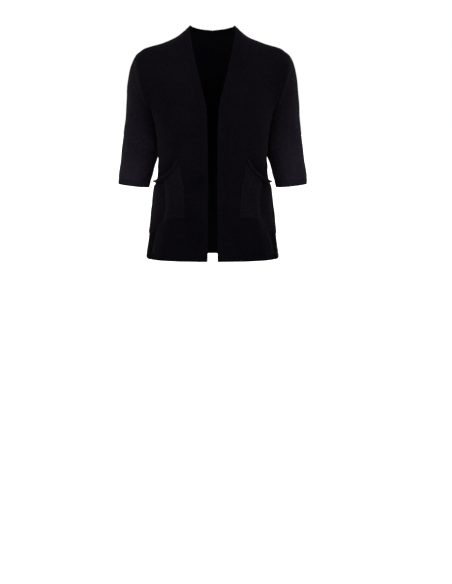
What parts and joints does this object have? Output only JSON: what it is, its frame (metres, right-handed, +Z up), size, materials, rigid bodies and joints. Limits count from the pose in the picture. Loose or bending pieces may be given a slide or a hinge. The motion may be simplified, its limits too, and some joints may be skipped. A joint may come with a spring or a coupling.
{
  "type": "open-front knitted cardigan",
  "caption": "Hip-length open-front knitted cardigan with elbow-length sleeves, a narrow front and neck band, and slack patch pockets, in its hollow worn form.",
  "frame": {"origin": "midway between the two side-neck points, where the cloth rests on the wearer's shoulders", "axes": "+Z up, the front faces -Y, the wearer's left is at +X"},
  "size_m": [0.524, 0.2302, 0.6326],
  "materials": {
    "knit": "fine plain knit, near black, soft matt with a faint fuzz",
    "rib": "fine ribbed knit, near black, soft matt"
  },
  "bodies": {
    "root": {"back": "knit", "front_left": "knit", "front_right": "knit", "sleeve_left": "knit", "sleeve_right": "knit", "pocket_left": "knit", "pocket_right": "knit", "cuff_left": "rib", "cuff_right": "rib", "hem_back": "rib", "hem_front_left": "rib", "hem_front_right": "rib", "band_left": "rib", "band_right": "rib"}
  },
  "joints": []
}
